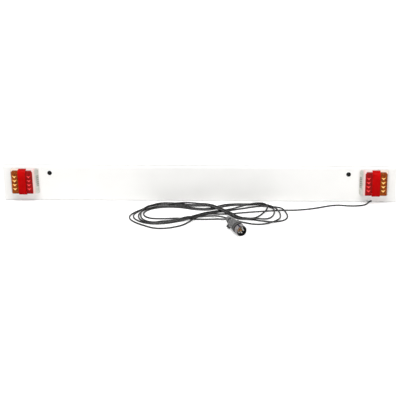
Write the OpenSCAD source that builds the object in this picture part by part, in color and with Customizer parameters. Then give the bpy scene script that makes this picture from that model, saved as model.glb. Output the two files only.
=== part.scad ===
/* [Board] */
// Length of the board from end to end
board_len = 1525; // [1400:5:1700]
// Height of the board
board_h = 146; // [140:1:165]
// Thickness of the board's plastic sheet
board_t = 3; // [2.5:0.1:3.5]
// Depth from the front face to the back of the folded edges
board_d = 15; // [14.5:0.5:20]
// Outside radius of the folded long edges
fold_r = 8; // [6:0.5:10]

/* [Fixing bolts] */
// Distance from each end of the board to its fixing bolt
stud_inset = 183; // [165:1:220]
// Distance from the top of the board down to the fixing bolts
stud_drop = 30; // [24:1:45]
// Diameter of the bolt's shank
stud_dia = 8; // [6:0.5:10]
// Diameter of the domed black head
stud_head_dia = 18; // [16:0.5:22]
// Height of the domed head
stud_head_h = 4.5; // [3:0.5:6]
// Length of shank behind the front face
stud_reach = 38; // [30:1:50]
// Thickness of the washer
washer_t = 1.6; // [1:0.1:2.5]
// Diameter of the washer
washer_dia = 20; // [18:0.5:24]
// Height of the nut
nut_h = 6.5; // [5:0.5:8]
// Width of the nut across its flats
nut_flats = 13; // [12:0.5:15]

/* [Lamp housing] */
// Width of the lamp housing
lamp_w = 112; // [110:1:120]
// Height of the lamp housing
lamp_h = 104; // [103:1:112]
// Corner radius of the lamp housing
lamp_r = 9; // [5:0.5:12]
// Depth of the housing tray
tray_d = 10; // [9:0.5:12]
// Wall of the housing tray
tray_t = 2.5; // [2:0.1:3]
// Distance from the end of the board to the lamp
lamp_inset = 30; // [20:1:45]

/* [Lamp lenses] */
// Depth from the board's face to the front of the side lenses
lens_d = 30; // [28:0.5:34]
// Depth from the board's face to the front of the raised reflector
band_d = 35; // [32:0.5:40]
// Distance by which the side lenses slope in at the top and at the bottom
lens_slope = 4.5; // [3:0.5:6]
// Front corner radius of the raised reflector, seen from the side
band_r = 12; // [8:0.5:15]
// Wall of the lenses
lens_t = 2.2; // [1.8:0.1:2.6]
// Share of the lamp's width that the raised red reflector takes
band_share = 0.27; // [0.24:0.01:0.3]
// Share of the lamp's width that the sloped clear window takes
window_share = 0.18; // [0.15:0.01:0.2]
// Sideways slope of the amber lens from front to housing
amber_slope = 6; // [4:0.5:7]
// Distance of the lens cover's seat inside the housing's edge
seat_in = 1; // [0.5:0.1:1.5]

/* [Lamp inside] */
// Reflector cups in each column
cup_count = 4; // [3:1:5]
// Share of the reflector block's width that a cup's mouth takes
cup_share = 0.7; // [0.6:0.05:0.75]
// Depth of the reflector block
cup_block_d = 14; // [12:0.5:15]
// Thickness of the circuit board
pcb_t = 1.6; // [1:0.1:2]
// Height of the posts under the circuit board
post_h = 4.5; // [4:0.5:5]
// Diameter of an LED
led_dia = 5; // [4:0.5:5.5]
// Height of an LED's straight body
led_h = 3; // [2:0.5:4]

/* [Lamp bolts] */
// Distance between the two bolts of one lamp
lamp_bolt_gap = 60; // [50:1:70]
// Diameter of a lamp bolt
lamp_bolt_dia = 5; // [4:0.5:6]
// Length of a lamp bolt behind the board's front face
lamp_bolt_reach = 12; // [11:0.5:14]

/* [Cable gland] */
// Sideways distance of the gland from the lamp's centre
gland_x = 25; // [18:0.5:26]
// Distance of the gland below the lamp's centre
gland_drop = 15; // [10:1:18]
// Diameter of the gland's stem
gland_dia = 10; // [9:0.5:10.5]
// Length of the gland's tapered sleeve
gland_len = 28; // [22:1:34]

/* [Cord and plug] */
// Diameter of the cord
cord_dia = 6; // [5:0.1:6.5]
// Height of the heap of cord
heap_h = 14; // [10:0.5:16]
// Outside diameter of the plug's shell
shell_dia = 40; // [38:0.5:41]
// Inside diameter of the plug's shell
shell_bore = 35; // [34:0.5:36]
// Length of the plug's shell
shell_len = 34; // [32:1:36]
// Length of the nose in front of the shell's groove
nose_len = 20; // [18:0.5:22]
// Diameter of the circle of pins
pin_circle = 21; // [18:0.5:22]
// Diameter of a pin
pin_dia = 5; // [4:0.1:5.2]
// Distance of the pin tips behind the plug's face
pin_recess = 7; // [6.5:0.5:9]
// Length of the plug's body behind the shell
plug_body_len = 60; // [56:1:64]
// Length of the plug's cord cap
plug_cap_len = 27; // [22:1:30]
// Grip flutes round the cord cap
flute_count = 14; // [10:1:18]

/* [Hidden] */
$fn = 64;

// Clearances
fit_gap = 0.2;
hole_gap = 0.25;
thread_gap = 0.02;
cut = 1;

// Fixing bolts
stud_h = board_h - stud_drop;
stud_x = board_len / 2 - stud_inset;
stud_core = stud_dia - 0.8;
stud_bevel = 1;
clamp_stack = board_t + washer_t + nut_h;

// Lamp, measured from its own centre, with the outboard side at +x
lamp_x = board_len / 2 - lamp_inset - lamp_w / 2;
lamp_lift = board_h - fold_r - lamp_h / 2;
seat_half_w = lamp_w / 2 - seat_in;
seat_half_h = lamp_h / 2 - seat_in;
lens_half_h = seat_half_h - lens_slope;
band_half_h = seat_half_h;
band_w = lamp_w * band_share;
window_w = lamp_w * window_share;
lens_w = (2 * seat_half_w - amber_slope - band_w - window_w) / 2;
amber_edge = seat_half_w - amber_slope;
band_out = amber_edge - lens_w;
band_in = band_out - band_w;
red_edge = band_in - lens_w;
edge_r = 3;
mitre = 0.4;

// Circuit board and what stands on it
pcb_half_w = lamp_w / 2 - 7;
pcb_half_h = lamp_h / 2 - 8;
pcb_r = 4;
pcb_front = tray_t + post_h + pcb_t;
post_dia = 6;
post_x = pcb_half_w - 9;
post_z = pcb_half_h - 8;
cup_side = 3;
cup_block_w = lens_w - 2 * cup_side;
cup_block_r = 2;
cup_mouth = cup_block_w * cup_share;
cup_floor = cup_mouth / 2;
cup_base = 2;
cup_pitch = 2 * pcb_half_h / (cup_count + 1.2);
turn_x = (band_out + amber_edge - lens_t) / 2;
tail_x = (red_edge + band_in) / 2;
plate_led_x = 12 - lamp_w / 2;
plate_led_gap = 40;

// Lamp bolts
lamp_bolt_z = 20;
lamp_head_dia = 9;
lamp_head_h = 3;
lamp_head_bite = 1;
lamp_washer_dia = 12;
lamp_washer_t = 1;
lamp_nut_flats = 8;
lamp_nut_h = 4;

// Cable gland, behind the board
gland_back = 6;
gland_lip_dia = 16;
gland_lip_t = 1.2;
gland_tip_dia = 8.5;
gland_socket = 8;
gland_cx = lamp_x + gland_x;
gland_y = board_t + gland_back;
gland_z = lamp_lift - gland_drop;
gland_mouth = gland_z - gland_len + gland_socket;

// Slot that the cord leaves by
slot_from_gland = 39;
slot_x = gland_cx - slot_from_gland;
slot_w = 20;
slot_top = 10.5;
slot_r = 3.5;
slot_h = slot_top + slot_r;

// Plug, measured along its axis from the face of its nose
plug_place = [176, -333, 20.3];
plug_turn = 27;
plug_dip = 2;
plug_roll = 20;
shell_r = shell_dia / 2;
collar_r = shell_r + 1;
groove_r = shell_r - 1.5;
groove_w = 3.5;
shell_bevel = 1;
insert_floor = 24;
pin_seat = 3;
pin_bevel = 1;
keyway_w = 5;
keyway_d = 1.5;
body_step = 0.7;
body_barrel = 26;
body_neck_r = 11.5;
body_neck = 2;
body_rear_r = 14;
clamp_dia = 6.5;
clamp_h = 5;
clamp_seat = shell_r - 3;
clamp_behind_shell = 25;
clamp_back = shell_len + clamp_behind_shell;
clamp_turn = -63;
driver_slot = 1;
lug_back = 83;
lug_out = 25;
lug_size = [12, 8, 16];
lug_eye = 5;
cap_r = 14;
cap_rear_r = 9.5;
cap_round = 2;
flute_dia = 3;
flute_len = 18;
body_end = shell_len + plug_body_len;
cap_end = body_end + plug_cap_len;
plug_axis = [sin(plug_turn) * cos(plug_dip), -cos(plug_turn) * cos(plug_dip), -sin(plug_dip)];
cap_socket = 6;
cap_mouth = plug_place - cap_end * plug_axis;

// Route of the cord from the right lamp's gland to the heap: down from the gland,
// out by the slot, then over the surface, as shares of the way from the heap to the slot
cord_sides = 8;
cord_z = cord_dia / 2 + 0.1;
lead_drop = [0, -8, -17, -25];
lead_bend = [[36.5, 9, 16], [29, 9.5, 9.5], [19.5, 9.5, 7], [12, 8.5, 6.6], [4.5, 4.5, 6.2],
    [-1.5, -2.5, 4.6], [-6.5, -13, 3.6]];
lead_end = [336, -90];
lead_run = [[0.962, -25], [0.931, -34], [0.888, -39], [0.839, -42], [0.787, -43], [0.741, -42],
    [0.698, -39], [0.652, -36], [0.609, -36], [0.564, -39], [0.518, -44], [0.472, -51], [0.426, -58],
    [0.383, -65], [0.337, -71], [0.291, -76], [0.245, -80], [0.202, -84], [0.156, -87], [0.116, -89],
    [0.077, -90], [0.037, -90], [0, -90]];
lead_route = concat([for (z = lead_drop) [gland_cx, gland_y, gland_mouth + z]],
    [for (p = lead_bend) p + [slot_x, 0, 0]],
    [for (p = lead_run) [lead_end[0] + p[0] * (slot_x - lead_end[0]), p[1], cord_z]]);

// Outline of the heap: centre and half sizes of each lobe and of its hole
left_lobe = [[-108, -150], [147, 125]];
left_hole = [[-90, -113], [98, 50]];
right_lobe = [[228, -130], [119, 102]];
right_hole = [[195, -113], [66, 46]];
heap_steps = 40;
waist = [[-20, -130], [-30, -205], [60, -188], [140, -205], [150, -110], [110, -48], [40, -42], [-30, -45]];
notch_gap = 1;
lead_notch = 40;
tail_notch = 60;
tail_start = [104, -186, 8.2];
tail_pull = 20;
tail_steps = 6;

function bend_tangent(p, i) =
    let(a = p[max(i - 1, 0)], b = p[min(i + 1, len(p) - 1)]) (b - a) / norm(b - a);
function ring(c, t, r, n) =
    let(side = norm(cross(t, [0, 0, 1])) > 0.1 ? cross(t, [0, 0, 1]) : cross(t, [0, 1, 0]),
        u = side / norm(side), v = cross(u, t))
    [for (k = [0 : n - 1]) c + r * (cos(360 * k / n) * u + sin(360 * k / n) * v)];
function ellipse_points(lobe, n) =
    [for (k = [0 : n - 1]) lobe[0] + [lobe[1][0] * cos(360 * k / n), lobe[1][1] * sin(360 * k / n)]];
// Cubic from the heap's notch to the mouth of the plug's cap
function tail_point(u) =
    let(a = tail_start, d = cap_mouth, level = [plug_axis[0], plug_axis[1], 0],
        b = a + tail_pull * level, c = d - tail_pull * plug_axis)
    pow(1 - u, 3) * a + 3 * pow(1 - u, 2) * u * b + 3 * (1 - u) * u * u * c + pow(u, 3) * d;

// Origin midway between the fixing bolts, level with the back of the folded edges
module in_place() {
    translate([0, -board_d, -stud_h]) children();
}

module right_lamp() {
    translate([lamp_x, 0, lamp_lift]) children();
}

module left_lamp() {
    mirror([1, 0, 0]) right_lamp() children();
}

// Extrudes an outline drawn in x and z towards the front
module forward(from, depth) {
    translate([0, -from, 0]) rotate([90, 0, 0]) linear_extrude(depth) children();
}

// Extrudes a section drawn in y and z along x
module sideways(x0, x1) {
    translate([x0, 0, 0]) rotate([90, 0, 90]) linear_extrude(x1 - x0) children();
}

module rounded_rect(w, h, r) {
    square([w - 2 * r, h], center = true);
    square([w, h - 2 * r], center = true);
    for (sx = [-1, 1], sy = [-1, 1])
        translate([sx * (w / 2 - r), sy * (h / 2 - r)]) circle(r);
}

// Section of the board, open at the back
module channel_section(inset, r, back) {
    h = board_h - 2 * inset;
    translate([inset + r, inset]) square([back - inset - r, h]);
    translate([inset, inset + r]) square([r + cut, h - 2 * r]);
    for (z = [inset + r, board_h - inset - r])
        translate([inset + r, z]) circle(r);
}

module board() {
    color([0.96, 0.95, 0.93]) in_place() difference() {
        sideways(-board_len / 2, board_len / 2) difference() {
            channel_section(0, fold_r, board_d);
            channel_section(board_t, fold_r - board_t, board_d + cut);
        }
        for (s = [-1, 1]) {
            translate([s * stud_x, board_t + cut, stud_h]) rotate([90, 0, 0])
                cylinder(d = stud_dia + 2 * hole_gap, h = board_t + 2 * cut);
            for (b = [-1, 1])
                translate([s * lamp_x + b * lamp_bolt_gap / 2, board_t + cut, lamp_lift + lamp_bolt_z])
                    rotate([90, 0, 0]) cylinder(d = lamp_bolt_dia + 2 * hole_gap, h = board_t + 2 * cut);
            translate([s * (lamp_x + gland_x), board_t + cut, gland_z]) rotate([90, 0, 0])
                cylinder(d = gland_dia + 2 * hole_gap, h = board_t + 2 * cut);
        }
        translate([slot_x, fold_r, slot_top - slot_h / 2]) rotate([90, 0, 0])
            linear_extrude(fold_r + cut) rounded_rect(slot_w, slot_h, slot_r);
    }
}

// Bolt with a domed head. Inside the nut its thread is drawn at half its depth.
module fixing_bolts() {
    dome_r = (pow(stud_head_dia / 2, 2) + pow(stud_head_h, 2)) / (2 * stud_head_h);
    free_from = clamp_stack + fit_gap;
    color([0.1, 0.1, 0.1]) in_place() for (s = [-1, 1]) translate([s * stud_x, 0, stud_h])
        rotate([-90, 0, 0]) {
            intersection() {
                translate([0, 0, dome_r - stud_head_h]) sphere(dome_r);
                translate([0, 0, -stud_head_h]) cylinder(d = stud_head_dia, h = stud_head_h);
            }
            translate([0, 0, -stud_head_h / 2]) cylinder(d = stud_core, h = free_from + stud_head_h);
            translate([0, 0, free_from]) cylinder(d = stud_dia, h = stud_reach - stud_bevel - free_from);
            translate([0, 0, stud_reach - stud_bevel])
                cylinder(d1 = stud_dia, d2 = stud_core, h = stud_bevel);
        }
}

module fixing_washers() {
    color([0.72, 0.73, 0.75]) in_place() for (s = [-1, 1])
        translate([s * stud_x, board_t, stud_h]) rotate([-90, 0, 0]) difference() {
            cylinder(d = washer_dia, h = washer_t);
            translate([0, 0, -cut]) cylinder(d = stud_dia + 2 * hole_gap, h = washer_t + 2 * cut);
        }
}

module hex_nut(flats, h, bore) {
    difference() {
        cylinder(d = flats / cos(30), h = h, $fn = 6);
        translate([0, 0, -cut]) cylinder(d = bore, h = h + 2 * cut);
    }
}

module fixing_nuts() {
    color([0.72, 0.73, 0.75]) in_place() for (s = [-1, 1])
        translate([s * stud_x, board_t + washer_t, stud_h]) rotate([-90, 0, 0])
            hex_nut(nut_flats, nut_h, stud_core + 2 * thread_gap);
}

// Tray that closes the back of a lamp, with posts for the circuit board
module lamp_tray() {
    color([0.9, 0.9, 0.88]) difference() {
        union() {
            difference() {
                forward(0, tray_d) rounded_rect(lamp_w, lamp_h, lamp_r);
                forward(tray_t, tray_d)
                    rounded_rect(lamp_w - 2 * tray_t, lamp_h - 2 * tray_t, lamp_r - tray_t);
            }
            for (sx = [-1, 0, 1], sz = [-1, 1])
                translate([sx * post_x, 0, sz * post_z]) forward(tray_t, post_h) circle(d = post_dia);
        }
        for (b = [-1, 1])
            translate([b * lamp_bolt_gap / 2, 0, lamp_bolt_z]) forward(-cut, tray_t + 2 * cut)
                circle(d = lamp_bolt_dia + 2 * hole_gap);
        translate([gland_x, 0, -gland_drop]) forward(-cut, tray_t + 2 * cut)
            circle(d = gland_dia + 2 * hole_gap);
    }
}

// Outer form of the lens cover, or its hollow where inset is the wall
module cover_form(inset) {
    front = lens_d - inset;
    top = lens_half_h - inset;
    seat_top = seat_half_h - inset;
    back = tray_d - (inset > 0 ? cut : 0);
    intersection() {
        forward(back, front - back)
            rounded_rect(2 * (seat_half_w - inset), 2 * seat_top, lamp_r - seat_in - inset);
        translate([0, 0, -lamp_h]) linear_extrude(2 * lamp_h)
            polygon([[-seat_half_w + inset, cut], [-seat_half_w + inset, -tray_d],
                [red_edge + inset * mitre, -front], [amber_edge - inset, -front],
                [seat_half_w - inset, -tray_d], [seat_half_w - inset, cut]]);
        sideways(-lamp_w, lamp_w) {
            translate([-front + edge_r, -top + edge_r]) circle(edge_r);
            translate([-front + edge_r, top - edge_r]) circle(edge_r);
            polygon([[cut, seat_top], [-tray_d, seat_top], [-front + edge_r, top], [-front, top - edge_r],
                [-front, -top + edge_r], [-front + edge_r, -top], [-tray_d, -seat_top], [cut, -seat_top]]);
        }
    }
}

// The part of the lens cover between two upright planes
module cover_slice(x0, x1) {
    intersection() {
        difference() {
            cover_form(0);
            cover_form(lens_t);
        }
        translate([x0, -band_d, -lamp_h]) cube([x1 - x0, band_d + cut, 2 * lamp_h]);
    }
}

module amber_lens() {
    color([0.95, 0.5, 0.08]) cover_slice(band_out, lamp_w);
}

module red_lens() {
    color([0.75, 0.05, 0.05]) {
        cover_slice(red_edge, band_in);
        intersection() {
            cover_form(0);
            translate([red_edge, -lens_d + lens_t / 2, -lamp_h])
                cube([lens_t, lens_d - lens_t / 2 - tray_d, 2 * lamp_h]);
        }
    }
}

module plate_window() {
    color([0.86, 0.88, 0.88]) cover_slice(-lamp_w, red_edge);
}

// Raised red reflector that runs over the cover from top to bottom
module reflector_band() {
    color([0.8, 0.05, 0.05]) sideways(band_in, band_out) difference() {
        band_section(0);
        band_section(lens_t);
    }
}

module band_section(inset) {
    h = 2 * (band_half_h - inset);
    r = band_r - inset;
    front = band_d - inset;
    back = tray_d - (inset > 0 ? cut : 0);
    translate([-front + r, -h / 2]) square([front - r - back, h]);
    translate([-front, -h / 2 + r]) square([r + cut, h - 2 * r]);
    for (s = [-1, 1])
        translate([-front + r, s * (h / 2 - r)]) circle(r);
}

function cup_z(i) = (i - (cup_count - 1) / 2) * cup_pitch;

// Bright block with one conical cup in front of each LED
module cup_block(x, colour) {
    color(colour) translate([x, 0, 0]) difference() {
        forward(pcb_front, cup_block_d) rounded_rect(cup_block_w, 2 * pcb_half_h, cup_block_r);
        for (i = [0 : cup_count - 1]) {
            translate([0, -pcb_front - cup_block_d, cup_z(i)]) rotate([-90, 0, 0])
                cylinder(d1 = cup_mouth, d2 = cup_floor, h = cup_block_d - cup_base);
            translate([0, -pcb_front - cup_block_d, cup_z(i)]) rotate([-90, 0, 0])
                cylinder(d = led_dia + 2 * fit_gap, h = cup_block_d + cut);
        }
    }
}

module turn_cups() {
    cup_block(turn_x, [0.85, 0.85, 0.86]);
}

module tail_cups() {
    cup_block(tail_x, [0.85, 0.85, 0.86]);
}

module circuit_board() {
    color([0.12, 0.35, 0.2]) forward(pcb_front - pcb_t, pcb_t)
        rounded_rect(2 * pcb_half_w, 2 * pcb_half_h, pcb_r);
}

module led() {
    forward(pcb_front, led_h) circle(d = led_dia);
    translate([0, -pcb_front - led_h, 0]) sphere(d = led_dia);
}

module turn_leds() {
    color([0.95, 0.6, 0.2]) for (i = [0 : cup_count - 1]) translate([turn_x, 0, cup_z(i)]) led();
}

module tail_leds() {
    color([0.9, 0.25, 0.2]) for (i = [0 : cup_count - 1]) translate([tail_x, 0, cup_z(i)]) led();
}

module plate_leds() {
    color([0.95, 0.95, 0.85]) for (s = [-1, 1])
        translate([plate_led_x, 0, s * plate_led_gap / 2]) led();
}

// Rubber elbow that turns the cable down behind the board
module cable_gland() {
    color([0.08, 0.08, 0.08]) translate([gland_x, 0, -gland_drop]) difference() {
        union() {
            translate([0, gland_y, 0]) rotate([90, 0, 0]) cylinder(d = gland_dia, h = gland_y + tray_t);
            translate([0, board_t, 0]) rotate([-90, 0, 0]) cylinder(d = gland_lip_dia, h = gland_lip_t);
            translate([0, gland_y, 0]) sphere(d = gland_dia);
            translate([0, gland_y, -gland_len]) cylinder(d1 = gland_tip_dia, d2 = gland_dia, h = gland_len);
        }
        translate([0, gland_y, -gland_len - cut]) cylinder(d = cord_dia + fit_gap, h = gland_socket + cut);
    }
}

module both_lamps() {
    left_lamp() children();
    right_lamp() children();
}

module lamp_bolts() {
    color([0.72, 0.73, 0.75]) in_place() both_lamps() for (b = [-1, 1])
        translate([b * lamp_bolt_gap / 2, 0, lamp_bolt_z]) {
            forward(tray_t, lamp_head_h) circle(d = lamp_head_dia);
            forward(-lamp_bolt_reach, lamp_bolt_reach + tray_t + lamp_head_bite) circle(d = lamp_bolt_dia);
        }
}

module lamp_washers() {
    color([0.72, 0.73, 0.75]) in_place() both_lamps() for (b = [-1, 1])
        translate([b * lamp_bolt_gap / 2, board_t, lamp_bolt_z]) rotate([-90, 0, 0]) difference() {
            cylinder(d = lamp_washer_dia, h = lamp_washer_t);
            translate([0, 0, -cut]) cylinder(d = lamp_bolt_dia + 2 * hole_gap, h = lamp_washer_t + 2 * cut);
        }
}

module lamp_nuts() {
    color([0.72, 0.73, 0.75]) in_place() both_lamps() for (b = [-1, 1])
        translate([b * lamp_bolt_gap / 2, board_t + lamp_washer_t, lamp_bolt_z]) rotate([-90, 0, 0])
            hex_nut(lamp_nut_flats, lamp_nut_h, lamp_bolt_dia + 2 * thread_gap);
}

// Tube swept along a list of points, with flat ends
module swept_tube(points, r, sides, first_dir, last_dir) {
    last = len(points) - 1;
    rings = [for (i = [0 : last]) ring(points[i],
        i == 0 ? first_dir : i == last ? last_dir : bend_tangent(points, i), r, sides)];
    corners = [for (a = rings) each a];
    walls = [for (i = [0 : last - 1], k = [0 : sides - 1])
        [i * sides + k, i * sides + (k + 1) % sides, (i + 1) * sides + (k + 1) % sides, (i + 1) * sides + k]];
    start = [[for (k = [0 : sides - 1]) sides - 1 - k]];
    end = [[for (k = [0 : sides - 1]) last * sides + k]];
    polyhedron(corners, concat(walls, start, end), convexity = 8);
}

module cord_lead() {
    color([0.2, 0.2, 0.2]) in_place()
        swept_tube(lead_route, cord_dia / 2, cord_sides, [0, 0, -1], [-1, 0, 0]);
}

module cord_heap() {
    notch_w = cord_dia + 2 * notch_gap;
    color([0.22, 0.22, 0.22]) in_place() difference() {
        linear_extrude(heap_h) difference() {
            union() {
                polygon(ellipse_points(left_lobe, heap_steps));
                polygon(ellipse_points(right_lobe, heap_steps));
                polygon(waist);
            }
            polygon(ellipse_points(left_hole, heap_steps));
            polygon(ellipse_points(right_hole, heap_steps));
        }
        translate([lead_end[0], lead_end[1] - notch_w / 2, -cut])
            cube([lead_notch, notch_w, heap_h + 2 * cut]);
        translate([tail_start[0], tail_start[1], -cut]) rotate([0, 0, plug_turn])
            translate([-notch_w / 2, -tail_notch, 0]) cube([notch_w, tail_notch, heap_h + 2 * cut]);
    }
}

module cord_tail() {
    route = concat([for (i = [0 : tail_steps]) tail_point(i / tail_steps)],
        [cap_mouth + cap_socket * plug_axis]);
    color([0.2, 0.2, 0.2]) in_place()
        swept_tube(route, cord_dia / 2, cord_sides, [plug_axis[0], plug_axis[1], 0], plug_axis);
}

// Draws a piece along the plug's axis, with the face of its nose at z = 0
module on_plug() {
    in_place() translate(plug_place) rotate([90 + plug_dip, 0, plug_turn]) rotate([0, 0, plug_roll])
        children();
}

module plug_shell() {
    groove_back = nose_len + groove_w;
    color([0.3, 0.3, 0.31]) on_plug() difference() {
        rotate_extrude() polygon([[shell_bore / 2, -shell_len], [collar_r, -shell_len],
            [collar_r, -groove_back - shell_bevel], [collar_r - shell_bevel, -groove_back],
            [groove_r, -groove_back], [groove_r, -nose_len], [shell_r, -nose_len],
            [shell_r, -shell_bevel], [shell_r - shell_bevel, 0], [shell_bore / 2, 0]]);
        translate([-keyway_w / 2, shell_r - keyway_d, -nose_len])
            cube([keyway_w, keyway_d + cut, nose_len + cut]);
    }
}

// Places a piece at each of the seven pins: one in the middle and six around it
module at_pins() {
    children();
    for (k = [0 : 5]) rotate([0, 0, 60 * k + 30]) translate([pin_circle / 2, 0, 0]) children();
}

module plug_insert() {
    color([0.06, 0.06, 0.06]) on_plug() difference() {
        translate([0, 0, -shell_len]) cylinder(d = shell_bore - 2 * fit_gap, h = shell_len - insert_floor);
        at_pins() translate([0, 0, pin_seat - shell_len]) cylinder(d = pin_dia + fit_gap, h = shell_len);
    }
}

module plug_pins() {
    tip = shell_len - pin_seat - pin_recess;
    color([0.8, 0.62, 0.3]) on_plug() at_pins() translate([0, 0, pin_seat - shell_len])
        rotate_extrude() polygon([[0, 0], [pin_dia / 2, 0], [pin_dia / 2, tip - pin_bevel],
            [pin_dia / 2 - pin_bevel, tip], [0, tip]]);
}

// Body behind the shell, with a neck for the cord cap, a side lug and a seat for the clamp screw
module plug_body() {
    neck = body_end - body_neck;
    color([0.26, 0.26, 0.27]) on_plug() difference() {
        union() {
            rotate_extrude() polygon([[0, -shell_len], [collar_r - body_step, -shell_len],
                [shell_r - body_step, -shell_len - body_barrel], [body_rear_r + body_step, -neck + body_step],
                [body_rear_r, -neck], [body_neck_r, -neck], [body_neck_r, -body_end], [0, -body_end]]);
            rotate([0, 0, clamp_turn]) translate([-lug_size[1] / 2, -lug_out, -lug_back - lug_size[2] / 2])
                difference() {
                    cube([lug_size[1], lug_size[0], lug_size[2]]);
                    translate([-cut, lug_eye, lug_size[2] / 2]) rotate([0, 90, 0])
                        cylinder(d = lug_eye, h = lug_size[1] + 2 * cut);
                }
        }
        rotate([0, 0, clamp_turn]) translate([0, clamp_seat, -clamp_back]) rotate([-90, 0, 0])
            cylinder(d = clamp_dia + 2 * fit_gap, h = 2 * clamp_h);
    }
}

module plug_clamp_screw() {
    color([0.6, 0.6, 0.6]) on_plug() rotate([0, 0, clamp_turn]) translate([0, clamp_seat, -clamp_back])
        rotate([-90, 0, 0]) difference() {
            cylinder(d = clamp_dia, h = clamp_h);
            translate([-clamp_dia, -driver_slot / 2, clamp_h - driver_slot])
                cube([2 * clamp_dia, driver_slot, driver_slot + cut]);
        }
}

module plug_cap() {
    color([0.14, 0.14, 0.14]) on_plug() difference() {
        rotate_extrude() polygon([[0, -body_end], [cap_r, -body_end], [cap_rear_r, -cap_end + cap_round],
            [cap_rear_r - cap_round, -cap_end], [0, -cap_end]]);
        translate([0, 0, -cap_end - cut]) cylinder(d = cord_dia + fit_gap, h = cap_socket + cut);
        for (k = [0 : flute_count - 1]) rotate([0, 0, 360 * k / flute_count])
            translate([cap_r + flute_dia / 4, 0, -body_end - flute_len])
                cylinder(d = flute_dia, h = flute_len + cut);
    }
}

board();
fixing_bolts();
fixing_washers();
fixing_nuts();
in_place() left_lamp() lamp_tray();  // left_lamp_tray
in_place() left_lamp() amber_lens();  // left_amber_lens
in_place() left_lamp() red_lens();  // left_red_lens
in_place() left_lamp() reflector_band();  // left_reflector_band
in_place() left_lamp() plate_window();  // left_plate_window
in_place() left_lamp() turn_cups();  // left_turn_cups
in_place() left_lamp() tail_cups();  // left_tail_cups
in_place() left_lamp() circuit_board();  // left_circuit_board
in_place() left_lamp() turn_leds();  // left_turn_leds
in_place() left_lamp() tail_leds();  // left_tail_leds
in_place() left_lamp() plate_leds();  // left_plate_leds
in_place() left_lamp() cable_gland();  // left_cable_gland
in_place() right_lamp() lamp_tray();  // right_lamp_tray
in_place() right_lamp() amber_lens();  // right_amber_lens
in_place() right_lamp() red_lens();  // right_red_lens
in_place() right_lamp() reflector_band();  // right_reflector_band
in_place() right_lamp() plate_window();  // right_plate_window
in_place() right_lamp() turn_cups();  // right_turn_cups
in_place() right_lamp() tail_cups();  // right_tail_cups
in_place() right_lamp() circuit_board();  // right_circuit_board
in_place() right_lamp() turn_leds();  // right_turn_leds
in_place() right_lamp() tail_leds();  // right_tail_leds
in_place() right_lamp() plate_leds();  // right_plate_leds
in_place() right_lamp() cable_gland();  // right_cable_gland
lamp_bolts();
lamp_washers();
lamp_nuts();
cord_lead();
cord_heap();
cord_tail();
plug_shell();
plug_insert();
plug_pins();
plug_body();
plug_clamp_screw();
plug_cap();
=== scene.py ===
import math

import bpy
import numpy as np
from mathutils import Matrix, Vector


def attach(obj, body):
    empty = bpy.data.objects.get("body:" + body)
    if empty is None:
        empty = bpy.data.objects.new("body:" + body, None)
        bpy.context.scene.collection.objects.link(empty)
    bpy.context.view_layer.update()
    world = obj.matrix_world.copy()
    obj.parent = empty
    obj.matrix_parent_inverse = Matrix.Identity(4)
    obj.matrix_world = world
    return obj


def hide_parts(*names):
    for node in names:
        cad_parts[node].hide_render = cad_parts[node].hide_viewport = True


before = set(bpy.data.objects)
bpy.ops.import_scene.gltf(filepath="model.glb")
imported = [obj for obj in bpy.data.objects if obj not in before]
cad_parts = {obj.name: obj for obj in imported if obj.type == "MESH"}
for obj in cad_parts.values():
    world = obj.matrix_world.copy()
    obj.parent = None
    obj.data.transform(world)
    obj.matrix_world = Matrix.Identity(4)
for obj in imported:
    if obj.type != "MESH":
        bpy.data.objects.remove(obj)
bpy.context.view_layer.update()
scene = bpy.context.scene
scene.view_settings.view_transform = "Standard"
ground = -0.116
print("frame loaded, nodes:", len(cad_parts))

# camera, looking a little down on the board
cameraSet = {
    "place": (0.2558, -4.1798, 1.5761),
    "turn": (67.997, 0.853, 3.086),    # degrees
    "lens": 103.71,
    "clipEnd": 60,
}
bpy.ops.object.camera_add(location=cameraSet["place"], rotation=[math.radians(a) for a in cameraSet["turn"]])
camera = bpy.context.object
camera.name = "photoCamera"
camera.data.lens = cameraSet["lens"]
camera.data.clip_end = cameraSet["clipEnd"]
scene.camera = camera
print("camera placed")

# cord from the right lamp to the plug
cordSet = {
    "diameter": 0.006,
    "length": 6.83,
    "exit": (0.7015, -0.006, -0.065),
    "step": 0.004,
    "spanCuts": 12,       # points between two points of the route, before the even steps
    "rest": -0.1129,      # centre height of a turn that lies on the ground
    "gap": 0.00615,       # between the centres of two turns that touch
    "sameTurn": 3,        # diameters along the cord within which it can't meet itself
    "leadLevel": -1.0,
    "tailLevel": 0.55,
    "slope": 0.12,        # steepest rise where it climbs over another turn
    "crest": 0.12,        # radius of the arc where it passes over another turn
    "arcSamples": 45,
    "planSmooth": 12,
    "liftSmooth": 30,
    "settleRounds": 80,
    "leadSamples": 3,     # samples left as drawn, for each point of the lead
    "tailSamples": 26,    # samples left as drawn, at the plug
    "jointReach": (6, 14),
    "jointSmooth": 12,
}

# from the gland of the right lamp down the channel and out by the slot
leadDrop = [
    (0.7015, -0.006, -0.065), (0.7015, -0.006, -0.073), (0.7015, -0.006, -0.082), (0.7015, -0.006, -0.090),
    (0.6990, -0.006, -0.100), (0.6915, -0.0055, -0.1065), (0.6820, -0.0055, -0.109), (0.6745, -0.0065, -0.1094),
    (0.6670, -0.0105, -0.1106), (0.6610, -0.0175, -0.1124), (0.6560, -0.028, -0.1128),
]
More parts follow.
